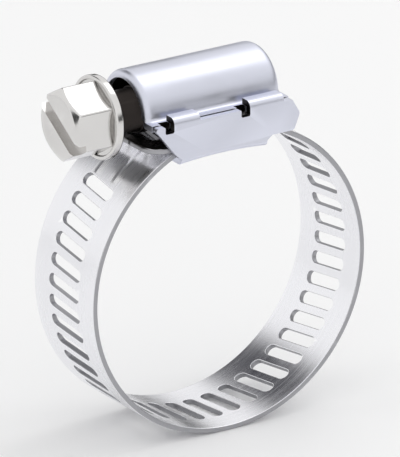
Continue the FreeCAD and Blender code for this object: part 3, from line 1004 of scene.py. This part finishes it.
def steel(
    name, colour, low_rough, high_rough, grain, coordinates="Object", grain_strength=0.05, tint_spread=0.06
):
    """Bare steel: rolling or polishing lines one way, smudged gloss, fine pits and worn bright edges."""
    material, tree, shader = new_material(name)
    links = tree.links
    place = add_node(tree, "ShaderNodeTexCoord")
    source = place.outputs[coordinates]
    stretch = add_node(tree, "ShaderNodeMapping")
    stretch.inputs["Scale"].default_value = grain
    links.new(source, stretch.inputs["Vector"])
    lines = add_node(tree, "ShaderNodeTexNoise", Scale=1.0, Detail=6.0, Roughness=0.7)
    links.new(stretch.outputs[0], lines.inputs["Vector"])
    smudge = add_node(tree, "ShaderNodeTexNoise", Scale=0.9 if coordinates == "UV" else 110.0, Detail=4.0)
    links.new(source, smudge.inputs["Vector"])
    pits = add_node(tree, "ShaderNodeTexNoise", Scale=30.0 if coordinates == "UV" else 2600.0, Detail=3.0)
    links.new(source, pits.inputs["Vector"])

    rough_lines = ramp(tree, lines.outputs["Fac"], [(0.3, low_rough), (0.7, high_rough)])
    rough_smudge = ramp(tree, smudge.outputs["Fac"], [(0.35, 0.85), (0.65, 1.2)])
    rough = add_node(tree, "ShaderNodeMath", operation="MULTIPLY")
    links.new(rough_lines, rough.inputs[0])
    links.new(rough_smudge, rough.inputs[1])
    links.new(rough.outputs[0], shader.inputs["Roughness"])

    dark = tuple(c * (1 - tint_spread) for c in colour)
    light = tuple(min(1.0, c * (1 + tint_spread)) for c in colour)
    tint = ramp(tree, smudge.outputs["Fac"], [(0.3, dark), (0.7, light)])
    geometry = add_node(tree, "ShaderNodeNewGeometry")
    worn = ramp(tree, geometry.outputs["Pointiness"], [(0.5, 0.0), (0.62, 1.0)])
    edge = add_node(tree, "ShaderNodeMix", data_type="RGBA")
    links.new(worn, edge.inputs[0])
    links.new(tint, edge.inputs[6])
    edge.inputs[7].default_value = (*[min(1.0, c * 1.12) for c in colour], 1)
    links.new(edge.outputs[2], shader.inputs["Base Color"])

    both = add_node(tree, "ShaderNodeMath", operation="ADD")
    links.new(lines.outputs["Fac"], both.inputs[0])
    links.new(pits.outputs["Fac"], both.inputs[1])
    bump = add_node(tree, "ShaderNodeBump", Strength=grain_strength, Distance=0.00005)
    links.new(both.outputs[0], bump.inputs["Height"])
    links.new(bump.outputs[0], shader.inputs["Normal"])
    shader.inputs["Metallic"].default_value = 1.0
    return material


def paint(obj, *materials):
    """One material for each material index of the mesh. The index of each face is kept."""
    indices = [face.material_index for face in obj.data.polygons]
    obj.data.materials.clear()
    for material in materials:
        obj.data.materials.append(material)
    obj.data.polygons.foreach_set("material_index", indices)


# ---------------------------------------------------------------- studio


def add_area(name, place, target, size, power):
    light = bpy.data.lights.new(name, "AREA")
    light.shape = "RECTANGLE"
    light.size, light.size_y = size
    light.energy = power
    obj = bpy.data.objects.new(name, light)
    bpy.context.scene.collection.objects.link(obj)
    obj.location = place
    obj.rotation_euler = (Vector(target) - Vector(place)).to_track_quat("-Z", "Y").to_euler()
    obj.visible_camera = False
    return obj


def studio_card(tree, direction, centre, reach, soft):
    """1 in the part of the surroundings round this direction, fading to 0 at its edge."""
    dot = add_node(tree, "ShaderNodeVectorMath", operation="DOT_PRODUCT")
    tree.links.new(direction, dot.inputs[0])
    dot.inputs[1].default_value = Vector(centre).normalized()
    edge = math.cos(math.radians(reach))
    inside = math.cos(math.radians(max(0.0, reach - soft)))
    return ramp(tree, dot.outputs["Value"], [(edge, 0.0), (inside, 1.0)])


def make_world():
    """A white room with a grey band round its foot and dark cards, for the metal to mirror."""
    world = bpy.data.worlds.new("studio")
    world.use_nodes = True
    tree = world.node_tree
    background = tree.nodes["Background"]
    direction = add_node(tree, "ShaderNodeTexCoord").outputs["Generated"]
    parts = add_node(tree, "ShaderNodeSeparateXYZ")
    tree.links.new(direction, parts.inputs[0])
    foot = ramp(tree, parts.outputs["Z"], [(0.0, FOOT_GREY), (0.16, FOOT_GREY), (0.3, 1.0)])
    to_right = ramp(tree, parts.outputs["X"], [(0.1, 0.0), (0.35, 1.0)])
    shade = add_node(tree, "ShaderNodeMix", data_type="RGBA")
    tree.links.new(to_right, shade.inputs[0])
    shade.inputs[6].default_value = (1, 1, 1, 1)
    tree.links.new(foot, shade.inputs[7])
    result = shade.outputs[2]
    for centre, reach, soft, tone in DARK_CARDS:
        card = add_node(tree, "ShaderNodeMix", data_type="RGBA")
        tree.links.new(studio_card(tree, direction, centre, reach, soft), card.inputs[0])
        tree.links.new(result, card.inputs[6])
        card.inputs[7].default_value = (*tone, 1)
        result = card.outputs[2]
    tree.links.new(result, background.inputs["Color"])
    background.inputs["Strength"].default_value = WORLD_LIGHT
    bpy.context.scene.world = world


def make_studio():
    reach = FLOOR_REACH
    corners = [(-reach, -reach, 0), (reach, -reach, 0), (reach, reach, 0), (-reach, reach, 0)]
    floor = new_object("studio_floor", corners, [[0, 1, 2, 3]])
    floor.location.z = cad_box[0].z
    material, _, shader = new_material("pale_floor")
    shader.inputs["Base Color"].default_value = (0.95, 0.95, 0.95, 1)
    shader.inputs["Roughness"].default_value = 0.6
    shader.inputs["Specular IOR Level"].default_value = 0.2
    paint(floor, material)
    make_world()
    add_area("key", (0.24, 0.04, 0.43), (0, 0, 0), (0.28, 0.28), KEY_POWER)
    bpy.context.scene.view_settings.view_transform = "Standard"


def make_camera():
    """A long lens that looks from the head's side, a little from above."""
    level = math.cos(CAMERA_ELEVATION)
    look_x = math.sin(CAMERA_AZIMUTH) * level
    look_y = math.cos(CAMERA_AZIMUTH) * level
    look = Vector((look_x, look_y, -math.sin(CAMERA_ELEVATION)))
    up = look.to_track_quat("-Z", "Y") @ Vector((0, 1, 0))
    aim = up * CAMERA_RISE * MM
    data = bpy.data.cameras.new("camera")
    data.sensor_width = SENSOR
    data.lens = CAMERA_DISTANCE / MM * SENSOR / FRAME_HEIGHT
    data.clip_start, data.clip_end = 0.01, 20
    camera = bpy.data.objects.new("camera", data)
    bpy.context.scene.collection.objects.link(camera)
    camera.location = aim - look * CAMERA_DISTANCE
    camera.rotation_euler = look.to_track_quat("-Z", "Y").to_euler()
    bpy.context.scene.camera = camera


band_steel = steel(
    "band_steel",
    (0.88, 0.88, 0.91),
    0.2,
    0.3,
    (0.35, 22, 1),
    coordinates="UV",
    grain_strength=0.06,
    tint_spread=0.03,
)
housing_steel = steel("housing_steel", (0.67, 0.685, 0.77), 0.32, 0.42, (60, 2600, 2600))
screw_steel = steel("screw_steel", (0.68, 0.67, 0.66), 0.1, 0.18, (1600, 300, 300), grain_strength=0.03)
# near-black steel: painted shade for the inside of the housing, its notch edges and the screw's shank and
# thread
painted_shade_steel = steel("painted_shade_steel", (0.035, 0.03, 0.028), 0.28, 0.45, (300, 1200, 1200))
# the band's cut edges: a rougher sheared finish, and a darker tone that is partly painted shade for the
# slot walls
sheared_and_shaded_steel = steel("sheared_and_shaded_steel", (0.4, 0.4, 0.42), 0.35, 0.5, (1200, 1200, 300), grain_strength=0.08)
for piece in make_band():
    paint(piece, band_steel, sheared_and_shaded_steel)
paint(make_cover(), housing_steel, painted_shade_steel)
paint(make_saddle(), housing_steel, painted_shade_steel)
make_screw()

make_studio()
make_camera()
